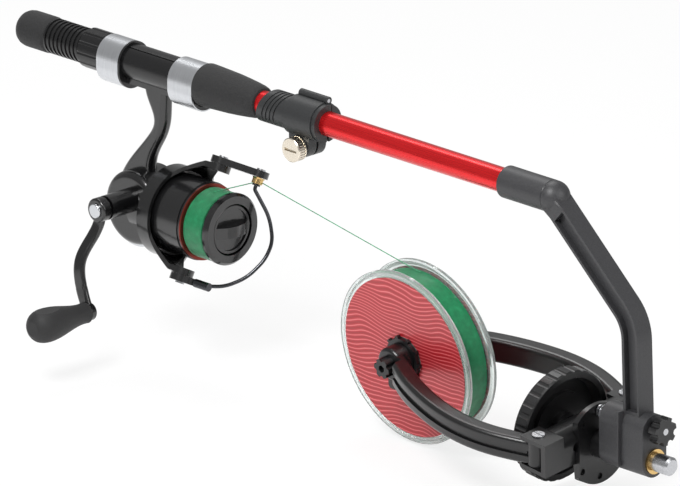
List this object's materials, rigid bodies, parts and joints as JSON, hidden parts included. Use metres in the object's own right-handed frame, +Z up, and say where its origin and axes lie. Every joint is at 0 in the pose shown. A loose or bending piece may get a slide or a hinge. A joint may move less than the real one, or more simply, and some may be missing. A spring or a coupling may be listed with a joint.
{
  "type": "fishing line winder",
  "caption": "Hand-held fishing line winder: reel seat handle with a spinning reel, a tube with a clamp, and a swivelling yoke that grips a spool of braid.",
  "frame": {"origin": "centre of the handle's butt end face", "axes": "+X along the handle towards the elbow, +Z up, -Y towards the crank"},
  "size_m": [0.5508, 0.1545, 0.1955],
  "materials": {
    "foam": "matte foam",
    "seat_plastic": "satin",
    "seat_bands": "brushed",
    "tube_red": "anodised",
    "clamp_plastic": "fine grain",
    "nickel": "satin nickel",
    "steel": "machined",
    "spring_steel": "wire",
    "brass": "polished",
    "arm_plastic": "grained",
    "knob_plastic": "satin",
    "yoke_plastic": "glossy",
    "spool_clear": "clear",
    "label_red": "printed paper in red tones",
    "braid_green": "braided line",
    "reel_paint": "satin black",
    "reel_trim": "satin",
    "trim_red": "anodised",
    "reel_line": "braided line",
    "bail_steel": "dark",
    "gear_alloy": "cast",
    "washer_felt": "felt",
    "drag_plastic": "satin",
    "knob_rubber": "soft"
  },
  "bodies": {
    "frame": {"butt_grip": "foam", "seat_barrel": "seat_plastic", "fixed_hood": "seat_plastic", "fixed_hood_band": "seat_bands", "foregrip": "foam", "main_tube": "tube_red", "support_arm": "arm_plastic", "swivel_bush": "brass", "index_spring": "spring_steel", "reel_body": "reel_paint", "reel_side_cover": "reel_paint", "reel_rear_cover": "reel_trim", "reel_screws": "steel", "gear_bearings": "steel", "line_run": "reel_line"},
    "hood": {"sliding_hood": "seat_plastic", "sliding_hood_band": "seat_bands"},
    "seat_nut": {"seat_lock_nut": "seat_plastic"},
    "clamp": {"clamp_body": "clamp_plastic", "clamp_collar": "clamp_plastic", "clamp_hinge_pin": "steel"},
    "clamp_thumb_screw": {"clamp_screw": "nickel"},
    "jaw": {"clamp_jaw": "clamp_plastic", "clamp_nut": "brass"},
    "yoke": {"yoke_base": "yoke_plastic", "swivel_shaft": "steel", "arm_pivot_pins": "steel"},
    "wheel": {"hand_wheel": "knob_plastic", "wheel_stud": "steel"},
    "puller": {"draw_bar": "knob_plastic"},
    "far_arm": {"arm_far": "yoke_plastic"},
    "near_arm": {"arm_near": "yoke_plastic"},
    "far_spindle": {"cone_far": "knob_plastic", "spindle_far": "knob_plastic"},
    "near_spindle": {"cone_near": "knob_plastic", "spindle_near": "knob_plastic"},
    "line_spool": {"line_spool_body": "spool_clear", "spool_labels": "label_red", "braid_winding": "braid_green"},
    "index": {"index_knob": "knob_plastic", "index_rod": "steel"},
    "crank": {"crank_shaft": "steel", "crank_arm": "reel_paint", "crank_cap": "reel_trim", "drive_gear": "gear_alloy"},
    "crank_grip": {"crank_knob": "knob_rubber"},
    "rotor_set": {"rotor": "reel_paint", "pinion": "brass"},
    "bail": {"bail_arm": "reel_paint", "bail_counter_arm": "reel_paint", "bail_wire": "bail_steel", "bail_screws": "steel"},
    "roller": {"line_roller": "brass"},
    "spool_set": {"reel_spool": "reel_paint", "spool_trim_ring": "trim_red", "reel_line": "reel_line", "main_shaft": "steel", "drag_washers": "washer_felt"},
    "drag": {"drag_knob": "drag_plastic"}
  },
  "joints": [
    {"name": "hood_slide", "type": "slide", "parent": "frame", "child": "hood", "axis": [1, 0, 0], "range_m": [-0.012, 0]},
    {"name": "seat_nut_turn", "type": "hinge", "parent": "hood", "child": "seat_nut", "pos_m": [0.067, 0, 0], "axis": [1, 0, 0], "range_deg": [-1240, 5]},
    {"name": "clamp_slide", "type": "slide", "parent": "frame", "child": "clamp", "axis": [1, 0, 0], "range_m": [-0.001, 0.148]},
    {"name": "clamp_screw_turn", "type": "hinge", "parent": "clamp", "child": "clamp_thumb_screw", "pos_m": [0.2447, -0.007, -0.0176], "axis": [0, 1, 0], "range_deg": [0, 680]},
    {"name": "jaw_open", "type": "hinge", "parent": "clamp", "child": "jaw", "pos_m": [0.247, 0.0032, 0.0129], "axis": [1, 0, 0], "range_deg": [0, 2.6]},
    {"name": "yoke_swivel", "type": "hinge", "parent": "frame", "child": "yoke", "pos_m": [0.518, 0, -0.144], "axis": [1, 0, 0], "range_deg": [-90, 90], "deforming": ["line_run"]},
    {"name": "wheel_turn", "type": "hinge", "parent": "yoke", "child": "wheel", "pos_m": [0.46179, 0.00039, -0.14076], "axis": [0.994, 0, -0.1097], "range_deg": [0, 600]},
    {"name": "puller_slide", "type": "slide", "parent": "yoke", "child": "puller", "axis": [-0.994, 0, 0.1097], "range_m": [0, 0.00223]},
    {"name": "far_arm_swing", "type": "hinge", "parent": "yoke", "child": "far_arm", "pos_m": [0.47654, 0.0357, -0.13473], "axis": [0.1088, -0.1288, 0.9857], "range_deg": [-15.01, 0]},
    {"name": "near_arm_swing", "type": "hinge", "parent": "yoke", "child": "near_arm", "pos_m": [0.47553, -0.0357, -0.14395], "axis": [0.1088, -0.1288, 0.9857], "range_deg": [0, 15.01]},
    {"name": "far_spindle_spin", "type": "hinge", "parent": "far_arm", "child": "far_spindle", "pos_m": [0.33912, 0.01785, -0.12189], "axis": [0.0141, 0.9917, 0.128], "continuous": true},
    {"name": "near_spindle_spin", "type": "hinge", "parent": "near_arm", "child": "near_spindle", "pos_m": [0.33862, -0.01785, -0.1265], "axis": [0.0141, 0.9917, 0.128], "continuous": true},
    {"name": "line_spool_spin", "type": "hinge", "parent": "yoke", "child": "line_spool", "pos_m": [0.33887, 0, -0.1242], "axis": [0.0141, 0.9917, 0.128], "continuous": true},
    {"name": "index_pull", "type": "slide", "parent": "frame", "child": "index", "axis": [1, 0, 0], "range_m": [0, 0.003], "stiffness_N_per_m": 400, "springref_m": -0.004, "deforming": ["index_spring"]},
    {"name": "crank_turn", "type": "hinge", "parent": "frame", "child": "crank", "pos_m": [0.108, -0.04, -0.0815], "axis": [0, 1, 0], "continuous": true, "deforming": ["line_run"]},
    {"name": "crank_grip_spin", "type": "hinge", "parent": "crank", "child": "crank_grip", "pos_m": [0.1113, -0.07, -0.14241], "axis": [0, 1, 0], "continuous": true},
    {"name": "rotor_spin", "type": "hinge", "parent": "frame", "child": "rotor_set", "pos_m": [0.13, 0, -0.0865], "axis": [1, 0, 0], "continuous": true, "deforming": ["line_run"]},
    {"name": "bail_flip", "type": "hinge", "parent": "rotor_set", "child": "bail", "pos_m": [0.154, 0, -0.0865], "axis": [0, 0.4664, 0.8846], "range_deg": [-75, 0], "deforming": ["line_run"]},
    {"name": "roller_spin", "type": "hinge", "parent": "bail", "child": "roller", "pos_m": [0.18, 0.02158, -0.06057], "axis": [0, 0.4664, 0.8846], "continuous": true},
    {"name": "spool_stroke", "type": "slide", "parent": "frame", "child": "spool_set", "axis": [1, 0, 0], "range_m": [-0.003, 0.007], "deforming": ["line_run"]},
    {"name": "drag_turn", "type": "hinge", "parent": "spool_set", "child": "drag", "pos_m": [0.178, 0, -0.0865], "axis": [1, 0, 0], "range_deg": [0, 540]}
  ],
  "couplings": [
    {"joint": "seat_nut_turn", "follows": "hood_slide", "rad_per_m": 1795.2},
    {"joint": "jaw_open", "follows": "clamp_screw_turn", "ratio": 0.0036527},
    {"joint": "puller_slide", "follows": "wheel_turn", "m_per_rad": 0.0002125},
    {"joint": "far_arm_swing", "follows": "wheel_turn", "ratio": -0.025},
    {"joint": "near_arm_swing", "follows": "wheel_turn", "ratio": 0.025},
    {"joint": "far_spindle_spin", "follows": "line_spool_spin", "ratio": 1},
    {"joint": "near_spindle_spin", "follows": "line_spool_spin", "ratio": 1},
    {"joint": "crank_turn", "follows": "rotor_spin", "ratio": 0.19444}
  ]
}
